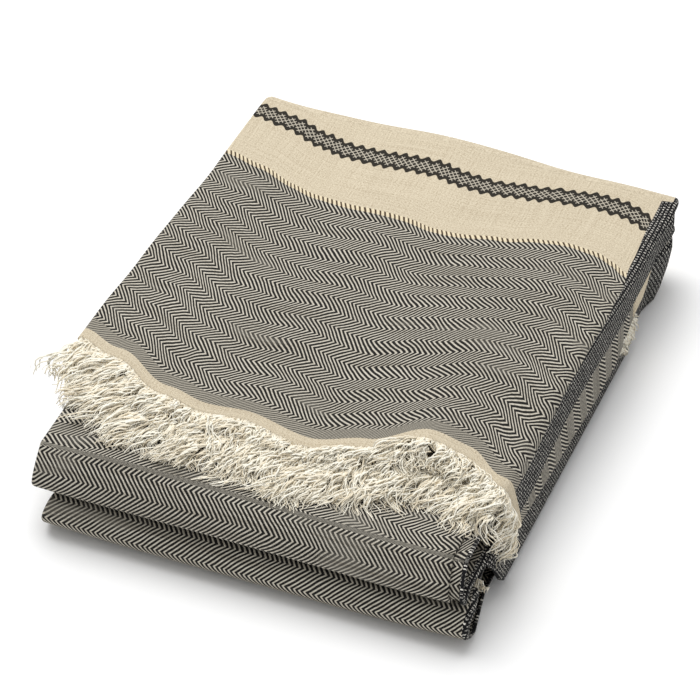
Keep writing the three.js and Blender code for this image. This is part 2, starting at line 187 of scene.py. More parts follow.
def to_back(i, f):
    """How far back the shares f of layer i's length lie, smoothly from 0 at its front to 1 at its back."""
    return ramp(f, 0, 1) if i % 2 == 0 else ramp(f, 1, 0)


def edge(i, side, f):
    """Where the left or right edge of layer i is, at the shares f of its length."""
    place = lerp(*LAYERS[i][side], to_back(i, f))
    flare = FLARES.get(LAYERS[i]["name"])
    if side == "right" and flare:
        y = on_layer(i, np.asarray(f, float))[..., 0]
        place = place + flare["reach"] * ramp(y, flare["from"], flare["to"])
    return place


def on_layer(i, f):
    """Where layer i runs, as y and z, at the shares f of its length."""
    start = TOP_HEM_Y if i == 0 else layer_end(i - 1)
    end = INNER_HEM_Y if i == len(LAYERS) - 1 else layer_end(i)
    return np.stack([lerp(start, end, f), lerp(*LAYERS[i]["z"], to_back(i, f))], -1)


def on_fold(i, f):
    """Where fold i runs, as y and z, at the shares f of its turn."""
    fold, side = FOLDS[i], side_of_fold(i)
    end = 1 if side > 0 else 0
    above, below = LAYERS[i]["z"][end], LAYERS[i + 1]["z"][end]
    turn = math.pi * f
    nose = 1 + fold["nose"] * np.cos(turn)
    return np.stack([
        fold["y"] - side * fold["depth"] * (1 - np.sin(turn) * nose),
        (above + below) / 2 + (above - below) / 2 * np.cos(turn) - fold["sag"] * np.sin(turn),
    ], -1)


def overhang_at(i, point):
    """The length of cloth that hangs over the right edge of layer i, and the angle it turns by."""
    hang = HANGS.get(LAYERS[i]["name"])
    if not hang:
        return EDGE_OVERHANG, EDGE_TURN * math.pi
    y, z = point[:, 0], point[:, 1]
    angle = curve(hang["turn"], y) * math.pi
    drop = z + PLY_PITCH / 2 - BEND_RADIUS - curve(hang["bottom"], y)
    full = BEND_RADIUS * angle + drop / np.sin(angle)
    inside = ramp(y, hang["from"] - HANG_FADE, hang["from"]) * ramp(y, hang["to"], hang["to"] - HANG_FADE)
    return lerp(EDGE_OVERHANG, full, inside), angle


def section_rows(along, f, left, right, overhang, angle, wave):
    """The rows of one layer or fold, as columns of numbers with names."""
    step = 1e-4
    tangent = along(f + step) - along(f - step)
    tangent /= np.linalg.norm(tangent, axis=1)[:, None]
    point = along(f)
    ones = np.ones(len(f))
    return {
        "y": point[:, 0], "z": point[:, 1], "normal_y": -tangent[:, 1], "normal_z": tangent[:, 0],
        "left": left * ones, "right": right * ones, "overhang": overhang * ones, "angle": angle * ones,
        "wave": wave * ones,
    }


def strip_rows():
    """All rows from the hem on top to the hem inside, and where each row belongs."""
    sections = []
    for i, layer in enumerate(LAYERS):
        f = np.linspace(0, 1, layer["steps"])
        wave = 1 - f if i == 0 else 0
        overhang, angle = overhang_at(i, on_layer(i, f))
        left, right = edge(i, "left", f), edge(i, "right", f)
        rows = section_rows(lambda at, i=i: on_layer(i, at), f, left, right, overhang, angle, wave)
        rows["layer"] = np.full(len(f), i)
        sections.append(rows)
        if i == len(FOLDS):
            break
        f = np.arange(1, FOLDS[i]["steps"]) / FOLDS[i]["steps"]
        share = ramp(f, 0, 1)
        left = lerp(edge(i, "left", 1), edge(i + 1, "left", 0), share)
        right = lerp(edge(i, "right", 1), edge(i + 1, "right", 0), share)
        angle = EDGE_TURN * math.pi
        rows = section_rows(lambda at, i=i: on_fold(i, at), f, left, right, EDGE_OVERHANG, angle, 0)
        rows["layer"] = np.full(len(f), i + 0.5)
        sections.append(rows)
    rows = {key: np.concatenate([s[key] for s in sections])[:, None] for key in sections[0]}
    steps = np.hypot(np.diff(rows["y"][:, 0]), np.diff(rows["z"][:, 0]))
    rows["path"] = np.concatenate([[0], np.cumsum(steps)])[:, None]
    return rows


def strip_columns(rows):
    """For each row and column: x, height h over the strip's middle, direction out, place u and lower or not.

    u is the place across the flat cloth: 0 at the lengthwise fold, positive on the upper ply and negative on
    the lower one."""
    half = PLY_PITCH / 2
    quarter = math.pi * half / 2
    left, right, overhang, angle = rows["left"], rows["right"], rows["overhang"], rows["angle"]
    ones = np.ones_like(left)
    columns = []
    f = np.linspace(0, 1, ACROSS["lower"] + 1)[None, :]
    x = lerp(right - SHORT_PLY_INSET, left, f)
    level = np.ones_like(x)
    columns.append((x, -half * level, 0 * x, -level, left - x - quarter, level))
    turn = (math.pi * np.arange(1, ACROSS["fold"]) / ACROSS["fold"])[None, :] * ones
    out_x, out_h = -np.sin(turn), -np.cos(turn)
    lower = 1.0 * (out_h < 0)
    columns.append((left + half * out_x, half * out_h, out_x, out_h, half * turn - quarter, lower))
    f = np.linspace(0, 1, ACROSS["upper"] + 1)[None, :]
    x = lerp(left, right, f)
    columns.append((x, half * np.ones_like(x), 0 * x, np.ones_like(x), x - left + quarter, 0 * x))
    k = np.arange(1, ACROSS["bend"] + ACROSS["hang"] + 1)[None, :]
    radius = np.minimum(BEND_RADIUS, NARROW_BEND * overhang / angle)
    turn = angle * np.minimum(1, k / ACROSS["bend"])
    straight = (overhang - radius * angle) * np.maximum(0, (k - ACROSS["bend"]) / ACROSS["hang"])
    out_x, out_h = np.sin(turn), np.cos(turn)
    columns.append((
        right + radius * out_x + straight * out_h,
        half - radius * (1 - out_h) - straight * out_x,
        out_x, out_h,
        right - left + quarter + radius * turn + straight,
        0 * turn,
    ))
    names = ("x", "h", "out_x", "out_h", "u", "lower")
    return {name: np.concatenate(parts, 1) for name, parts in zip(names, zip(*columns))}


def lower_reach(places):
    """How much further the lower ply's hem reaches to the front."""
    return LOWER_HEM["reach"] * ramp(places["x"], LOWER_HEM["from"], LOWER_HEM["to"]) * places["lower"]


def cloth_points(rows, places, out):
    """The points of the cloth, out by a distance from the middle of its ply, before the bundle settles."""
    reach = rows["wave"] * (curve(HEM_WAVE, places["x"]) + lower_reach(places))
    across = np.exp(-(((places["x"] - HEM_LIFT["x"]) / HEM_LIFT["width"]) ** 2))
    near_hem = ramp(rows["y"], TOP_HEM_Y + HEM_LIFT["length"], TOP_HEM_Y) * (rows["wave"] > 0)
    lift = HEM_LIFT["height"] * across * near_hem * (1 - places["lower"])
    h = places["h"] + out * places["out_h"] + lift
    return np.stack([
        places["x"] + out * places["out_x"],
        rows["y"] + rows["normal_y"] * h - reach,
        rows["z"] + rows["normal_z"] * h,
    ], -1)


def weave_places(rows, places):
    """Where each point lies in the flat cloth: u across it, v along it from its hem on top."""
    hem_slide = curve(HEM_WAVE, places["x"])
    back_slide = curve(BACK_SLIDE, places["x"])
    slide = lerp(hem_slide, back_slide, ramp(rows["path"], 0, SLIDE_TURN))
    slide = slide * (rows["layer"] <= LAST_SLID_LAYER)
    on_top = (slide + lower_reach(places)) * (1 - rows["wave"])
    return places["u"], rows["path"] + np.where(rows["layer"] == 0, on_top, slide)


def from_border(rows, places):
    """How far each point lies beyond the inner side of the dark border, as a share of the border's width."""
    wall_start = rows["right"] - rows["left"] + WALL_BORDER_START
    start = np.where(rows["layer"] == 0, curve(BORDER_START, rows["path"]), wall_start)
    return (places["u"] - start) / curve(BORDER_WIDTH, rows["path"])


def grid_faces(high, wide):
    """The faces of a closed sheet from two grids of points, the outer one first."""
    r, c = np.meshgrid(np.arange(high - 1), np.arange(wide - 1), indexing="ij")
    a = (r * wide + c).ravel()
    side = high * wide
    outer = np.stack([a, a + 1, a + wide + 1, a + wide], 1)
    inner = outer[:, [0, 3, 2, 1]] + side
    left = np.arange(high - 1) * wide
    right = left + wide - 1
    first = np.arange(wide - 1)
    last = first + side - wide
    return np.concatenate([
        outer, inner,
        np.stack([left, left + wide, side + left + wide, side + left], 1),
        np.stack([right + wide, right, side + right, side + right + wide], 1),
        np.stack([first + 1, first, side + first, side + first + 1], 1),
        np.stack([last, last + 1, side + last + 1, side + last], 1),
    ])


def crumple(points):
    """Small soft unevenness of the upper layers, the same for all layers at one place."""
    x, y, z = points[..., 0], points[..., 1], points[..., 2]
    level = np.clip(z / STACK_HEIGHT, 0, 1) ** 2
    dimples = np.sin(x / 17 + 1.3 * np.sin(y / 31) + 0.4) * np.sin(y / 13 + 0.9 * np.sin(x / 26))
    puckers = np.sin(x / 9.5 - y / 21 + 2.0) * np.sin(y / 8.0 + x / 33)
    ripples = np.sin(y / 24 + 0.8 * np.sin(x / 40) + 1.0)
    bumps = CRUMPLE["dimples"] * dimples + CRUMPLE["puckers"] * puckers + CRUMPLE["ripples"] * ripples
    moved = points.copy()
    moved[..., 2] = z + bumps * level
    return moved


def mesh_object(name, points, faces):
    """A mesh object at the origin from points in millimetres of the stack."""
    mesh = bpy.data.meshes.new(name)
    faces = np.asarray(faces)
    mesh.vertices.add(len(points))
    mesh.vertices.foreach_set("co", ((points + STACK_SHIFT) * MM).astype(np.float32).ravel())
    mesh.loops.add(faces.size)
    mesh.loops.foreach_set("vertex_index", faces.ravel().astype(np.int32))
    mesh.polygons.add(len(faces))
    mesh.polygons.foreach_set("loop_start", np.arange(0, faces.size, faces.shape[1], dtype=np.int32))
    mesh.update(calc_edges=True)
    mesh.polygons.foreach_set("use_smooth", np.full(len(faces), True))
    piece = bpy.data.objects.new(name, mesh)
    bpy.context.scene.collection.objects.link(piece)
    return piece


def add_numbers(piece, name, values):
    """A number at each point of a piece, which its material reads."""
    attribute = piece.data.attributes.new(name, "FLOAT", "POINT")
    attribute.data.foreach_set("value", np.asarray(values, np.float32).ravel())


# The cloth, set over its solid
rows = strip_rows()
places = strip_columns(rows)
sides = [settle(cloth_points(rows, places, out)) for out in (PLY / 2, -PLY / 2)]
high, wide = sides[0].shape[:2]
both = np.concatenate([side.reshape(-1, 3) for side in sides])
towel_box = [np.array(corner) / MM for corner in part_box("towel")]
STACK_SHIFT = (towel_box[0] + towel_box[1] - both.min(0) - both.max(0)) / 2 * (1, 1, 0)
both = crumple(both)
towel = mesh_object("towel_cloth", both, grid_faces(high, wide))
u, v = weave_places(rows, places)
length = float(rows["path"][-1, 0])
weave_numbers = {
    "across": u, "along": v, "layer": rows["layer"] + 0 * u, "border": from_border(rows, places),
}
for name, values in weave_numbers.items():
    add_numbers(towel, name, np.concatenate([values.ravel(), values.ravel()]))


# Yarns. Each fringe runs forward in locks of a width. Its yarns lean aside by a share of their length,
# turn in curls, arch away from the cloth and drop towards their tips.
UP = (0.0, 0.0, 1.0)
UPPER_FRINGE = {
    "count": 1750, "radius": 0.48, "length": 15, "lock": 4.4, "lean": 0.9, "curl": 2.8, "turns": 1.6,
    "arch": 3.0, "drop": 1.5, "points": 18, "lift_from": 4, "forward": (0.0, -1.0, -0.05), "normal": UP,
}
LOWER_FRINGE = {
    "count": 1750, "radius": 0.48, "length": 22, "lock": 4.8, "lean": 0.8, "curl": 3.0, "turns": 1.8,
    "arch": 2.4, "drop": 1.0, "points": 18, "lift_from": 2, "forward": (0.0, -1.0, -0.08), "normal": UP,
}
INNER_FRINGE = {
    "count": 700, "radius": 0.38, "length": 10, "lock": 3.0, "lean": 0.3, "curl": 0.5, "turns": 1.0,
    "arch": 0.3, "drop": 0.4, "points": 9, "forward": (0.0, -1.0, 0.0), "normal": UP,
}
CORNER_FRINGE = {
    "count": 260, "radius": 0.4, "length": 15, "lock": 4.0, "lean": 0.25, "curl": 0.9, "turns": 0.8,
    "arch": 0.8, "drop": 0.0, "points": 10, "forward": (0.05, 0.8, -0.45), "normal": (1.0, 0.0, 0.1),
}
# For each lock, between which shares of its fringe's numbers it may lie, and by how much of that range each
# yarn may differ from its lock. The phase is where a curl starts, as an angle.
LOCK_RANGES = {
    "length": (0.72, 1.12, 0.35), "lean": (-1, 1, 0.35), "curl": (0.3, 1.0, 0.35),
    "turns": (0.5, 1.0, 0.25), "phase": (0, 2 * math.pi, 0.18), "arch": (0.3, 1.0, 0.5),
}
YARN_SIDES = 3
YARN_SPREAD = (0.7, 1.15)  # of the radius
TIP_TAPER = 0.55
HAIRS = {"share": 0.3, "radius": 0.35}  # the yarns that are only thin hairs
ROOT_SPREAD = 0.25
YARN_CLEARANCE = 0.5
LOCK_SPREAD = 0.35  # of a lock's width, how far its yarns stray into the next
WOBBLE = {"reach": (0.6, 1.7), "turns": (1.4, 3.0)}  # each yarn's own small curls

# Between which x the upper row turns down the wall and down the left corner. Past the left limit, only a
# share of its reach is left.
WALL = {"from": 84, "to": 92, "normal": (1.0, 0.0, 0.25), "forward": (0.10, -0.75, -0.6)}
LEFT_CORNER = {"from": -80, "to": -103, "forward": (-0.12, -0.85, -0.5)}
LEFT_LIMIT = {"x": -103, "share": 0.3}
INNER_OUT = {"from": 76, "to": 86, "forward": (0.95, -0.55, -0.2)}  # where the inner fringe comes out
# Where the corner's tuft is rooted in the box of its solid, from the box's left, its front and its top.
CORNER_ROOTS = {"x": 0.6, "y": (2, 22), "below_top": (6, 1)}


def tube_faces(count, points, sides):
    """Faces of count open-ended tubes of a number of points."""
    i, j = np.meshgrid(np.arange(points - 1), np.arange(sides), indexing="ij")
    a = (i * sides + j).ravel()
    b = (i * sides + (j + 1) % sides).ravel()
    walls = np.stack([a, a + sides, b + sides, b], 1)
    base = (np.arange(count) * points * sides)[:, None, None]
    return (walls[None] + base).reshape(-1, 4)


def tubes(paths, radii, sides):
    """The points of tubes along paths, an array of count x points x 3, with a radius for each point."""
    tiny = 1e-9
    along = np.gradient(paths, axis=1)
    along /= np.linalg.norm(along, axis=2, keepdims=True) + tiny
    askew = np.array([0.13, 0.21, 0.97])  # hardly any yarn runs this way
    sideways = np.cross(along, askew)
    sideways /= np.linalg.norm(sideways, axis=2, keepdims=True) + tiny
    lift = np.cross(sideways, along)
    turn = (2 * math.pi * (np.arange(sides) + 0.5) / sides)[None, None, :, None]
    ring = sideways[:, :, None] * np.cos(turn) + lift[:, :, None] * np.sin(turn)
    return (paths[:, :, None] + ring * radii[:, :, None, None]).reshape(-1, 3)


def along_line(points, at):
    """Places along a line of points, at shares of its length."""
    steps = np.linalg.norm(np.diff(points, axis=0), axis=1)
    total = np.concatenate([[0], np.cumsum(steps)])
    return np.stack([np.interp(at * total[-1], total, points[:, k]) for k in range(3)], -1)


def surface_tree(piece):
    """A tree of a piece's faces, to look for what lies under a point."""
    points = [vertex.co.copy() for vertex in piece.data.vertices]
    return BVHTree.FromPolygons(points, [tuple(face.vertices) for face in piece.data.polygons])


def lifted(paths, look_from):
    """Paths kept above whatever cloth lies under them, looked for from a height above each point."""
    flat = paths.reshape(-1, 3).copy()
    floor = np.zeros(len(flat))
    for n, point in enumerate(flat):
        start = Vector((point + STACK_SHIFT + (0, 0, look_from)) * MM)
        hit = cloth_below.ray_cast(start, Vector((0, 0, -1)))[0]
        floor[n] = hit.z / MM if hit else 0
    flat[:, 2] = np.maximum(flat[:, 2], floor + YARN_CLEARANCE)
    return flat.reshape(paths.shape)


def unit(directions):
    return directions / np.linalg.norm(directions, axis=1, keepdims=True)


def turned(directions, other, share):
    """Directions that pass over into another one, by a share for each."""
    return directions * (1 - share[:, None]) + np.array(other) * share[:, None]


def locks(style, roots, forward, normal):
    """Paths of yarns that run forward from their roots in curly locks."""
    count = len(roots)
    place = np.concatenate([[0], np.cumsum(np.linalg.norm(np.diff(roots, axis=0), axis=1))])
    group = np.floor(place / style["lock"] + LOCK_SPREAD * rng.standard_normal(count)).astype(int)
    group -= group.min()
    groups = group.max() + 1

    def each(name):
        """A number for each yarn, nearly alike in a lock."""
        low, high, own = LOCK_RANGES[name]
        shared = rng.uniform(low, high, groups)[group]
        share = shared + own * (high - low) * rng.uniform(-0.5, 0.5, count)
        return style.get(name, 1) * share[:, None]

    length, lean, curl, turns, phase, arch = (each(name) for name in LOCK_RANGES)
    wobble = rng.uniform(*WOBBLE["reach"], count)[:, None]
    wobble_phase = rng.uniform(0, 2 * math.pi, count)[:, None]
    t = np.linspace(0, 1, style["points"])[None, :]
    turn = 2 * math.pi * turns * t + phase
    grow = t**0.8 * curl
    wave = 2 * math.pi * rng.uniform(*WOBBLE["turns"], count)[:, None] * t + wobble_phase
    ahead = length * t + 0.5 * grow * (np.cos(turn) - np.cos(phase))
    aside = length * lean * t + grow * (np.sin(turn) - np.sin(phase)) + wobble * np.sin(wave) * t**0.5
    above = arch * np.sin(math.pi * t**0.8) - style["drop"] * t**2
    above += 0.6 * grow * (np.cos(turn) - np.cos(phase)) + wobble * np.cos(wave) * t**0.5
    moves = ((ahead, forward), (aside, np.cross(forward, normal)), (above, normal))
    return roots[:, None, :] + sum(reach[..., None] * way[:, None, :] for reach, way in moves)


def yarn_object(name, paths, thick):
    """Yarns along paths as one mesh, a share of them only thin hairs."""
    count, points = paths.shape[:2]
    hair = rng.uniform(0, 1, count) < HAIRS["share"]
    radius = np.where(hair, HAIRS["radius"] * thick, thick * rng.uniform(*YARN_SPREAD, count))
    taper = 1 - TIP_TAPER * np.linspace(0, 1, points) ** 3
    shape = tubes(paths, radius[:, None] * taper[None, :], YARN_SIDES)
    piece = mesh_object(name, shape, tube_faces(count, points, YARN_SIDES))
    add_numbers(piece, "tone", np.repeat(rng.uniform(0, 1, count), points * YARN_SIDES))
    add_numbers(piece, "tip", np.tile(np.repeat(np.linspace(0, 1, points), YARN_SIDES), count))
    return piece


def hem_roots(hem, style, spread=0.0):
    """Roots at chance places along a hem, a little off its line."""
    roots = along_line(hem, np.sort(rng.uniform(0, 1, style["count"])))
    return roots + rng.uniform(-spread, spread, roots.shape) if spread else roots


def ways(style):
    """The way forward and away from the cloth, for each yarn of a fringe."""
    return (np.tile(style[way], (style["count"], 1)) for way in ("forward", "normal"))


def upper_fringe():
    """The upper row of the fringe on top."""
    style = UPPER_FRINGE
    roots = hem_roots(top_hem[lower_count - 1:], style, ROOT_SPREAD)
    forward, normal = ways(style)
    wall = ramp(roots[:, 0], WALL["from"], WALL["to"])
    left = ramp(roots[:, 0], LEFT_CORNER["from"], LEFT_CORNER["to"])
    forward = turned(turned(forward, WALL["forward"], wall), LEFT_CORNER["forward"], left)
    paths = locks(style, roots, unit(forward), unit(turned(normal, WALL["normal"], wall)))
    past = np.minimum(0, paths[..., 0] - LEFT_LIMIT["x"])
    paths[..., 0] -= (1 - LEFT_LIMIT["share"]) * past
    return yarn_object("fringe_upper_yarns", lifted(paths, style["lift_from"]), style["radius"])


def lower_fringe():
    """Its lower row, on the layer below."""
    style = LOWER_FRINGE
    roots = hem_roots(top_hem[:lower_count], style, ROOT_SPREAD)
    forward, normal = ways(style)
    paths = locks(style, roots, unit(forward), normal)
    return yarn_object("fringe_lower_yarns", lifted(paths, style["lift_from"]), style["radius"])


def inner_fringe():
    """The other end's fringe, which peeks out between the two front rolls."""
    style = INNER_FRINGE
    roots = hem_roots(inner_hem, style)
    forward, normal = ways(style)
    out = ramp(roots[:, 0], INNER_OUT["from"], INNER_OUT["to"])
    paths = locks(style, roots, unit(turned(forward, INNER_OUT["forward"], out)), normal)
    return yarn_object("fringe_inner_yarns", paths, style["radius"])


def corner_fringe():
    """The tuft on the right side, behind the top layer's overhang."""
    style = CORNER_FRINGE
    low, high = (np.array(corner) / MM - STACK_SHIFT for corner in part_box("fringe_corner"))
    y = lerp(*(low[1] + np.array(CORNER_ROOTS["y"])), np.sort(rng.uniform(0, 1, style["count"])))
    z = lerp(*(high[2] - np.array(CORNER_ROOTS["below_top"])), rng.uniform(0, 1, style["count"]))
    roots = np.stack([np.full(style["count"], low[0] + CORNER_ROOTS["x"]), y, z], -1)
    forward, normal = ways(style)
    paths = locks(style, roots, unit(forward), normal)
    return yarn_object("fringe_corner_yarns", paths, style["radius"])


rng = np.random.default_rng(11)
cloth_below = surface_tree(towel)
cloth_middle = crumple(settle(cloth_points(rows, places, 0)))
top_hem, inner_hem = cloth_middle[0], cloth_middle[-1]
lower_count = ACROSS["lower"] + 1
fringe_upper = upper_fringe()
fringe_lower = lower_fringe()
fringe_inner = inner_fringe()
fringe_corner = corner_fringe()


# Materials
class Field:
    """A number at each point of a surface, worked out by nodes."""

    def __init__(self, tree, socket):
        self.tree = tree
        self.socket = socket

    def math(self, operation, *others, clamp=False):
        node = self.tree.nodes.new("ShaderNodeMath")
        node.operation = operation
        node.use_clamp = clamp
        for socket, value in zip(node.inputs, (self, *others)):
            plug(self.tree, socket, value)
        return Field(self.tree, node.outputs[0])

    def __add__(self, other):
        return self.math("ADD", other)

    def __sub__(self, other):
        return self.math("SUBTRACT", other)

    def __mul__(self, other):
        return self.math("MULTIPLY", other)

    def __truediv__(self, other):
        return self.math("DIVIDE", other)

    def __rsub__(self, other):
        return (self * -1) + other

    def __lt__(self, other):
        return self.math("LESS_THAN", other)

    def __gt__(self, other):
        return self.math("GREATER_THAN", other)

    def least(self, other):
        return self.math("MINIMUM", other)

    def most(self, other):
        return self.math("MAXIMUM", other)

    def floor(self):
        return self.math("FLOOR")

    def fract(self):
        return self.math("FRACT")

    def pingpong(self, length):
        return self.math("PINGPONG", length)

    def abs(self):
        return self.math("ABSOLUTE")

    def cosine(self):
        return self.math("COSINE")

    def from_middle(self):
        """How far this is from the middle of its unit, from 0 to 0.5."""
        return (self.fract() - 0.5).abs()

    def step(self, start, end):
        node = self.tree.nodes.new("ShaderNodeMapRange")
        node.interpolation_type = "SMOOTHSTEP"
        plug(self.tree, node.inputs["Value"], self)
        node.inputs["From Min"].default_value = start
        node.inputs["From Max"].default_value = end
        return Field(self.tree, node.outputs["Result"])


def plug(tree, socket, value):
    if isinstance(value, Field):
        tree.links.new(value.socket, socket)
    else:
        socket.default_value = value


def numbers(tree, name):
    node = tree.nodes.new("ShaderNodeAttribute")
    node.attribute_name = name
    return Field(tree, node.outputs["Fac"])


def vector(tree, *parts):
    node = tree.nodes.new("ShaderNodeCombineXYZ")
    for socket, value in zip(node.inputs, parts):
        plug(tree, socket, value)
    return node.outputs[0]


def noise(tree, where, scale, detail=2.0):
    node = tree.nodes.new("ShaderNodeTexNoise")
    tree.links.new(where, node.inputs["Vector"])
    node.inputs["Scale"].default_value = scale
    node.inputs["Detail"].default_value = detail
    return Field(tree, node.outputs["Fac"])


def mix(tree, share, a, b):
    """A colour between two colours, each a socket or three numbers."""
    node = tree.nodes.new("ShaderNodeMix")
    node.data_type = "RGBA"
    plug(tree, node.inputs[0], share)
    for socket, value in ((node.inputs[6], a), (node.inputs[7], b)):
        if isinstance(value, tuple):
            socket.default_value = (*value, 1)
        else:
            tree.links.new(value, socket)
    return node.outputs[2]


def add_bump(tree, shader, height, strength, distance):
    bump = tree.nodes.new("ShaderNodeBump")
    bump.inputs["Strength"].default_value = strength
    bump.inputs["Distance"].default_value = distance
    tree.links.new(height.socket, bump.inputs["Height"])
    tree.links.new(bump.outputs["Normal"], shader.inputs["Normal"])


# Colours, as linear light
DARK = (0.012, 0.0115, 0.011)
DARK_WORN = (0.07, 0.064, 0.057)
CREAM = (0.72, 0.675, 0.575)
CREAM_SHADE = (0.50, 0.455, 0.37)
BEIGE = (0.68, 0.60, 0.455)
# BEIGE_SHADE is both the beige's own dark specks and the painted shade in the grooves between its threads.
BEIGE_SHADE = (0.43, 0.355, 0.245)
STRIPE_DARK = (0.014, 0.012, 0.010)
TOOTH_LIGHT = (0.76, 0.66, 0.47)
TOOTH_DARK = (0.07, 0.045, 0.026)
GREY_DARK = (0.03, 0.029, 0.027)
GREY_LIGHT = (0.50, 0.46, 0.38)
BORDER_DARK = (0.010, 0.010, 0.011)
BORDER_POINT = (0.80, 0.77, 0.70)
YARN = (0.97, 0.93, 0.81)
YARN_SHADE = (0.82, 0.73, 0.56)
# The painted shade on the yarns near their roots
YARN_ROOT_SHADE = (0.78, 0.69, 0.53)

# The pattern's places along the cloth, from each hem
HEM_END = 6.5
GREY_END = 13
FIELD_END = 145
BAND_END = 219
MIDDLE_BAND = 30  # half of the band that crosses the middle of the cloth

# The weave
THREAD = 0.55
HERRINGBONE_TURN = 14 * THREAD
TWILL_PITCH = 4 * THREAD
GREY_PITCH = 2.6 * THREAD
TOOTH_HALF = 1.4
TOOTH_SLANT = 0.6
LOZENGE = {"middle": 181, "half": 5.2, "pitch": 5.2, "scallop": 2.2, "line": 1.15, "blur": 0.18}
CHECK = {"across": 1.7, "along": 1.7}  # the pitch of the dark border's points
POINT = {"across": 0.3, "along": 0.24}  # half their size, as a share of the pitch
UNLIMITED_FROM = 1.6  # past this layer, counted from 0 with halves for folds, the border runs to the edge

# How far the woven lines wander, and with which waves, and where along the cloth this fades in and out
WANDER = {"across": 3.2, "fine": 0.9, "along": 4.0}
WANDER_SCALE = {"across": 0.045, "fine": 0.16, "along": 0.03}
WANDER_IN = (6, 31)
WANDER_OUT = (FIELD_END - 25, FIELD_END - 4)
# How strongly worn patches take the contrast out of the herringbone, and the tone that they pass into
WORN = {"strength": 0.38, "tone": 0.36}

# Waves a millimetre of the weave's uneven tones, along a thread and across it
THREAD_TONE = (0.02, 1.3)
SLUB = (0.35, 1.1)
PATCH_STRETCH = 0.35
PATCH = 0.06
FUZZ = 2.2
GRAIN = {"scale": 1.3, "squeeze": 1.6}


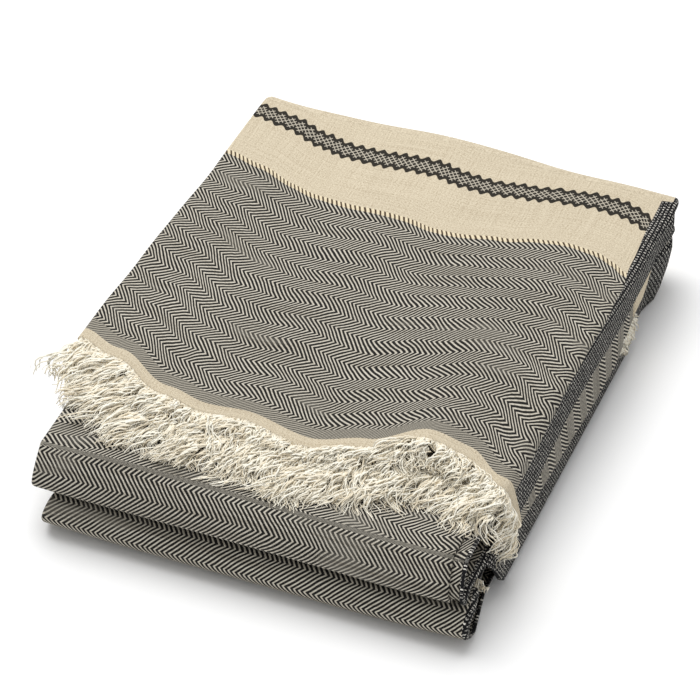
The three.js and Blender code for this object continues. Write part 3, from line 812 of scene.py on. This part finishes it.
class Weave:
    """The towel's woven pattern as fields and colours, from the numbers at the cloth's points."""

    def __init__(self, tree):
        self.tree = tree
        self.across, self.along, self.layer, self.border = (
            numbers(tree, name) for name in weave_numbers
        )
        self.flat = vector(tree, self.across, self.along, self.layer * 37)
        self.u, self.v = self.wandered()
        self.from_end = self.v.least((self.v * -1) + length)
        # How far each point lies from the middle of its thread. This drives the bump and the painted shade
        # in the grooves between threads.
        self.bead = (self.from_end / THREAD).from_middle()
        self.bead_across = (self.u / THREAD).from_middle()
        self.fuzz = self.noise(self.flat, FUZZ, 3.0)
        slow, quick = THREAD_TONE
        self.weft = self.noise(self.vector(self.u * slow, self.v * quick, self.layer), 1.0, 3.0)
        self.warp = self.noise(self.vector(self.u * quick, self.v * slow, self.layer), 1.0, 3.0)
        zigzag = self.from_end.pingpong(HERRINGBONE_TURN)
        line = ((self.u + zigzag) / TWILL_PITCH).fract()
        self.twill = ((line - 0.5) * (2 * math.pi)).cosine()  # 1 on a light line, -1 between two
        self.band = self.in_band()
        self.edging = self.in_border()

    def noise(self, *args):
        return noise(self.tree, *args)

    def vector(self, *args):
        return vector(self.tree, *args)

    def mix(self, *args):
        return mix(self.tree, *args)

    def wandered(self):
        """The weave is a little uneven, so its lines wander."""
        aside = (self.noise(self.flat, WANDER_SCALE["across"]) - 0.5) * WANDER["across"]
        aside = aside + (self.noise(self.flat, WANDER_SCALE["fine"]) - 0.5) * WANDER["fine"]
        turned_flat = self.vector(self.along, self.across, self.layer * 11 + 7)
        ahead = (self.noise(turned_flat, WANDER_SCALE["along"]) - 0.5) * WANDER["along"]
        ahead = ahead * self.along.step(*WANDER_IN) * (1 - self.along.step(*WANDER_OUT))
        return self.across + aside, self.along + ahead

    def herringbone(self):
        slub = self.noise(self.vector(self.u * SLUB[0], self.v * SLUB[1], self.layer * 3), 1.0, 2.0)
        patch = self.noise(self.vector(self.u * PATCH_STRETCH, self.v, self.layer * 5), PATCH, 3.0)
        cream = self.mix(self.weft.step(0.35, 0.75), CREAM, CREAM_SHADE)
        dark = self.mix(slub.step(0.6, 0.8), DARK, DARK_WORN)
        light = self.twill.step(0.0, 0.65)
        # The fuzz is the weave's own uneven tone. The bead term is painted shade: the light threads darken
        # towards their edges, in the grooves between threads.
        uneven_and_groove_shaded = light * 0.93 + (self.fuzz - 0.5) * 0.35 - self.bead * 0.22 * light
        worn = patch.step(0.56, 0.70) * WORN["strength"]
        share = uneven_and_groove_shaded * (1 - worn) + worn * WORN["tone"]
        return self.mix(share.math("MAXIMUM", 0, clamp=True), dark, cream)

    def plain(self):
        """The beige of the bands and the hem, with painted shade in the grooves between its threads."""
        grains = self.noise(self.vector(self.u, self.v * GRAIN["squeeze"], self.layer), GRAIN["scale"], 3.0)
        speck = (grains * 0.6 + self.warp * 0.2 + self.weft * 0.2).step(0.34, 0.60)
        beige = self.mix(speck, BEIGE_SHADE, BEIGE)
        # Painted shade: the beige darkens where two threads meet, in the grooves between them.
        return self.mix((self.bead + self.bead_across).step(0.55, 1.0) * 0.3, beige, BEIGE_SHADE)

    def stripe(self, ground):
        """The band's stripe: small lozenges between two scalloped lines."""
        pitch = LOZENGE["pitch"]
        ahead = self.from_end - LOZENGE["middle"]
        scallop = (self.u / pitch).from_middle() * 2
        outline = scallop.step(0.0, 1.0) * -LOZENGE["scallop"] + LOZENGE["half"]
        beyond = ahead.abs() - outline
        line = 1 - beyond.abs().step(LOZENGE["line"] - LOZENGE["blur"], LOZENGE["line"] + LOZENGE["blur"])
        inside = beyond < 0
        one = ((self.u + ahead) / (pitch / 2)).from_middle()
        other = ((self.u - ahead) / (pitch / 2)).from_middle()
        dots = 1 - one.most(other).step(0.34, 0.43)
        drawn = line.most(dots * inside)
        return self.mix(drawn * 0.97, self.mix(inside, ground, CREAM_SHADE), STRIPE_DARK)

    def teeth(self):
        tooth = ((self.u + self.from_end * TOOTH_SLANT) / TWILL_PITCH).fract()
        return self.mix(tooth.step(0.12, 0.3) * (1 - tooth.step(0.72, 0.9)), TOOTH_DARK, TOOTH_LIGHT)

    def fine_twill(self):
        line = ((self.u - self.from_end) / GREY_PITCH).fract()
        return self.mix(line.step(0.3, 0.6) * 0.8 + (self.fuzz - 0.5) * 0.5, GREY_DARK, GREY_LIGHT)

    def checks(self):
        """The dark border's light points, row by row a half pitch apart."""
        row = self.across / CHECK["across"]
        place = self.along / CHECK["along"] + row.floor() * 0.5
        point = (row.from_middle() < POINT["across"]) * (place.from_middle() < POINT["along"])
        return self.mix(point * self.fuzz.step(0.47, 0.58), BORDER_DARK, BORDER_POINT)

    def in_band(self):
        in_middle = (self.along - length / 2).abs() < MIDDLE_BAND
        return ((self.from_end > FIELD_END) * (self.from_end < BAND_END) + in_middle).least(1)

    def in_border(self):
        outward = ((self.border < 1) + (self.layer > UNLIMITED_FROM)).least(1)
        return (self.border > 0) * outward * (self.from_end > HEM_END)

    def colour(self):
        beige = self.plain()
        colour = self.mix(self.band, self.herringbone(), self.stripe(beige))
        colour = self.mix((self.from_end - FIELD_END).abs() < TOOTH_HALF, colour, self.teeth())
        colour = self.mix(self.from_end < GREY_END, colour, self.fine_twill())
        colour = self.mix(self.from_end < HEM_END, colour, beige)
        return self.mix(self.edging, colour, self.checks())

    def height(self):
        twill = self.twill * 0.5 * (1 - self.band) * (1 - self.edging)
        return twill + (self.bead + self.bead_across) * -0.5 + self.fuzz * 0.5


def fabric(name, roughness, specular, sheen):
    """A new matte material, with its node tree and shader."""
    material = bpy.data.materials.new(name)
    material.use_nodes = True
    shader = material.node_tree.nodes["Principled BSDF"]
    shader.inputs["Roughness"].default_value = roughness
    shader.inputs["Specular IOR Level"].default_value = specular
    shader.inputs["Sheen Weight"].default_value = sheen
    return material, material.node_tree, shader


def cloth_material():
    material, tree, shader = fabric("towel_weave", roughness=0.92, specular=0.1, sheen=0.03)
    woven = Weave(tree)
    tree.links.new(woven.colour(), shader.inputs["Base Color"])
    add_bump(tree, shader, woven.height(), strength=0.6, distance=0.0004)
    return material


def yarn_material():
    material, tree, shader = fabric("fringe_yarn", roughness=0.9, specular=0.2, sheen=0.2)
    colour = mix(tree, numbers(tree, "tone").step(0.3, 1.0), YARN, YARN_SHADE)
    # Painted shade: each yarn darkens towards its root at the hem, where the yarns crowd.
    root_shade = (1 - numbers(tree, "tip").step(0.0, 0.3)) * 0.3
    tree.links.new(mix(tree, root_shade, colour, YARN_ROOT_SHADE), shader.inputs["Base Color"])
    position = tree.nodes.new("ShaderNodeNewGeometry").outputs["Position"]
    add_bump(tree, shader, noise(tree, position, 1800.0), strength=0.4, distance=0.0003)
    return material


towel.data.materials.append(cloth_material())
yarn = yarn_material()
fringes = [fringe_upper, fringe_lower, fringe_inner, fringe_corner]
for piece in fringes:
    piece.data.materials.append(yarn)
    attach(piece, "root")
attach(towel, "root")
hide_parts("towel")
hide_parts("fringe_top")
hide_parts("fringe_inner")
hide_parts("fringe_corner")


# Floor, just under the part
FLOOR = {"size": 6.0, "z": -0.0002, "colour": (0.97, 0.97, 0.97, 1), "roughness": 0.9}
bpy.ops.mesh.primitive_plane_add(size=FLOOR["size"], location=(0, 0, FLOOR["z"]))
floor = bpy.context.object
floor.name = "floor"
paper = bpy.data.materials.new("floor_paper")
paper.use_nodes = True
paper_shader = paper.node_tree.nodes["Principled BSDF"]
paper_shader.inputs["Base Color"].default_value = FLOOR["colour"]
paper_shader.inputs["Roughness"].default_value = FLOOR["roughness"]
floor.data.materials.append(paper)

# Light, in metres and watts
SKY_STRENGTH = 0.55
KEY = {"place": (-0.4, 0.35, 1.55), "size": 1.5, "power": 25}
FILL = {"place": (0.9, -0.6, 1.3), "size": 1.4, "power": 0.5}
LIT_POINT = (0, 0, 0.03)

world = bpy.data.worlds.new("studio")
bpy.context.scene.world = world
world.use_nodes = True
sky = world.node_tree.nodes["Background"]
sky.inputs["Color"].default_value = (1, 1, 1, 1)
sky.inputs["Strength"].default_value = SKY_STRENGTH
bpy.context.scene.view_settings.view_transform = "Standard"


def area_light(name, place, size, power):
    data = bpy.data.lights.new(name, "AREA")
    data.size = size
    data.energy = power
    light = bpy.data.objects.new(name, data)
    bpy.context.scene.collection.objects.link(light)
    light.location = place
    light.rotation_mode = "QUATERNION"
    light.rotation_quaternion = (Vector(LIT_POINT) - Vector(place)).to_track_quat("-Z", "Y")


area_light("key", **KEY)
area_light("fill", **FILL)

# Camera, at the photograph's viewing angle
VIEW_AZIMUTH = math.radians(21.8)
VIEW_ELEVATION = math.radians(40.55)
VIEW_DISTANCE = 1302.5
IMAGE = 700
FOCAL_PIXELS = 3000
ORIGIN_PIXEL = (363.6, 393.3)  # where the stack's own origin shows
SENSOR = 36

camera_data = bpy.data.cameras.new("camera")
camera = bpy.data.objects.new("camera", camera_data)
bpy.context.scene.collection.objects.link(camera)
back = Vector((
    math.sin(VIEW_AZIMUTH) * math.cos(VIEW_ELEVATION),
    -math.cos(VIEW_AZIMUTH) * math.cos(VIEW_ELEVATION),
    math.sin(VIEW_ELEVATION),
))
camera.location = (back * VIEW_DISTANCE + Vector(STACK_SHIFT)) * MM
camera.rotation_mode = "QUATERNION"
camera.rotation_quaternion = (-back).to_track_quat("-Z", "Y")
camera_data.sensor_width = SENSOR
camera_data.lens = FOCAL_PIXELS / IMAGE * SENSOR
camera_data.shift_x = (IMAGE / 2 - ORIGIN_PIXEL[0]) / IMAGE
camera_data.shift_y = (ORIGIN_PIXEL[1] - IMAGE / 2) / IMAGE
bpy.context.scene.camera = camera
